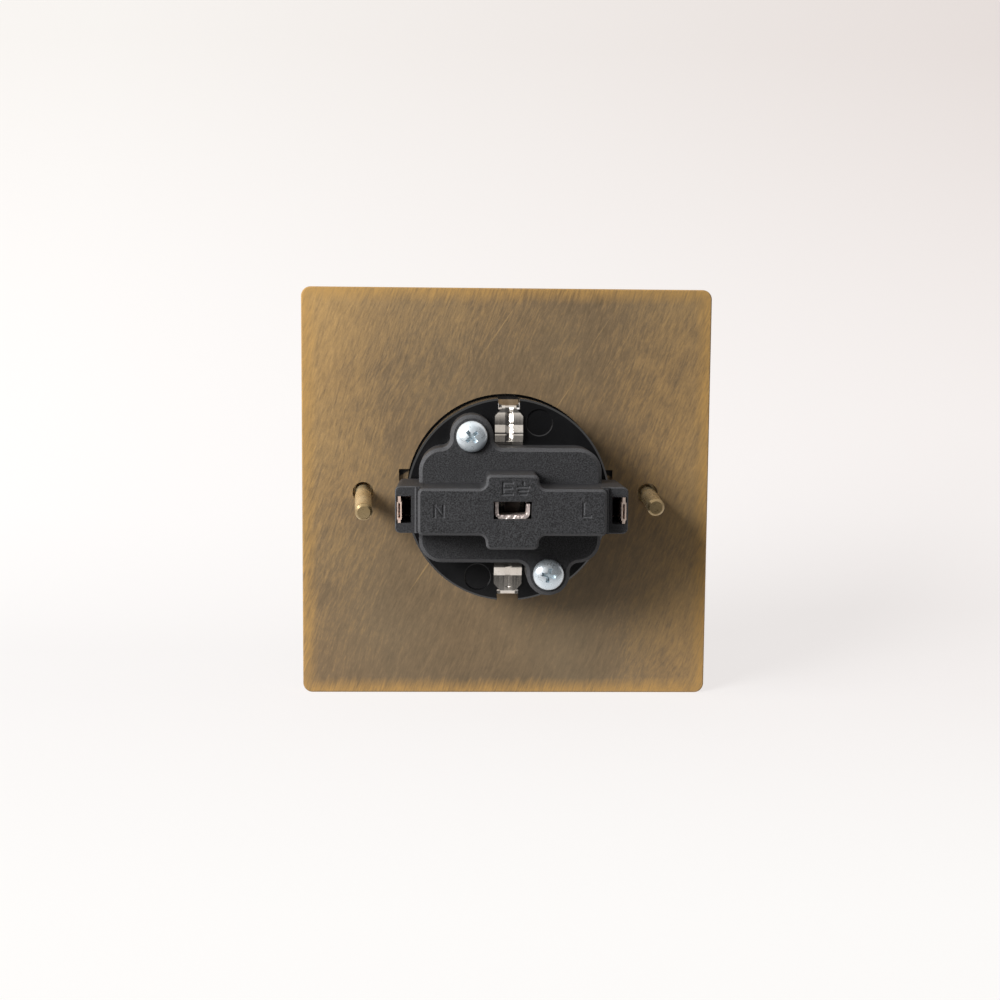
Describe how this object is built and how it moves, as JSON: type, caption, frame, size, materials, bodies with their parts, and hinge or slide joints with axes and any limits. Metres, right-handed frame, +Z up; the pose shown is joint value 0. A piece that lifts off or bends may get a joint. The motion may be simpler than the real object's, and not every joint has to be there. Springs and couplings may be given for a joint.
{
  "type": "wall socket outlet",
  "caption": "Earthed wall socket outlet on a square antique-brass plate, with a round plug well, side earth clips, push-in rear terminals and a sprung safety shutter.",
  "frame": {"origin": "centre of the plate's back face, on the axis of the plug well", "axes": "+Y out of the plate's back into the wall, +Z up, +X to the left as seen in the picture"},
  "size_m": [0.086, 0.0444, 0.086],
  "materials": {
    "antique_brass": "brushed, antiqued",
    "screw_brass": "satin",
    "gloss_black": "polished",
    "matte_black": "fine texture",
    "plated_strap": "nickel plated",
    "contact_brass": "bright",
    "spring_steel": "bright",
    "zinc_steel": "zinc plated",
    "shutter_plastic": "smooth"
  },
  "bodies": {
    "outlet": {"face_plate": "antique_brass", "socket_insert": "gloss_black", "terminal_cover": "matte_black", "earth_strap": "plated_strap", "earth_clamp_spring": "spring_steel", "neutral_contact": "contact_brass", "live_contact": "contact_brass", "neutral_clamp_spring": "spring_steel", "live_clamp_spring": "spring_steel", "shutter_spring": "spring_steel", "cover_screw_upper": "zinc_steel", "cover_screw_lower": "zinc_steel", "plate_screw_left": "screw_brass", "plate_screw_right": "screw_brass"},
    "shutter": {"shutter": "shutter_plastic"}
  },
  "joints": [
    {"name": "shutter_slide", "type": "slide", "parent": "outlet", "child": "shutter", "axis": [0, 0, 1], "range_m": [0, 0.0057], "stiffness_N_per_m": 60, "springref_m": -0.004, "deforming": ["shutter_spring"]}
  ]
}
